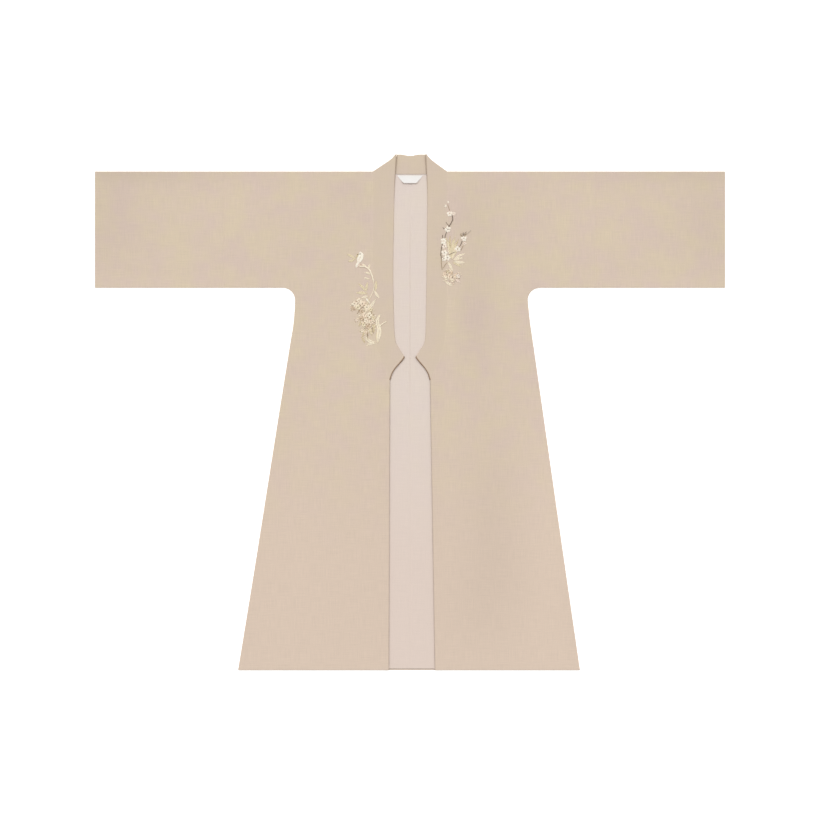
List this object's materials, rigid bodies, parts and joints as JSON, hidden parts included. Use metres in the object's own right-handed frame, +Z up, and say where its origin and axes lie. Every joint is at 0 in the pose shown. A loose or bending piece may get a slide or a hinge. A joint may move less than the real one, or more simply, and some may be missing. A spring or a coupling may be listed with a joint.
{
  "type": "hanfu robe",
  "caption": "Open-fronted straight-sleeved robe laid flat, with a band collar, pale back lining and flared skirt.",
  "frame": {"origin": "centre of the robe's box, on the surface that it lies on", "axes": "+X from the wearer's right cuff to the left cuff, +Y from the hem to the collar, +Z up from the surface, through the back to the fronts"},
  "size_m": [1.449, 1.186, 0.0046],
  "materials": {
    "robe_cloth": "smooth matt crepe in warm beige, with a faint sheen",
    "collar_cloth": "the robe's cloth, doubled and pressed",
    "lining_cloth": "thin pale pinkish lining",
    "label_tape": "off-white woven tape, blank",
    "embroidery_thread": "lustrous embroidery floss in cream, white, brown and terracotta"
  },
  "bodies": {
    "root": {"back_left": "robe_cloth", "back_right": "robe_cloth", "front_left": "robe_cloth", "front_right": "robe_cloth", "sleeve_left_back": "robe_cloth", "sleeve_left_front": "robe_cloth", "sleeve_right_back": "robe_cloth", "sleeve_right_front": "robe_cloth", "collar_back": "collar_cloth", "collar_left": "collar_cloth", "collar_right": "collar_cloth", "lining_left": "lining_cloth", "lining_right": "lining_cloth", "neck_label": "label_tape"}
  },
  "joints": []
}
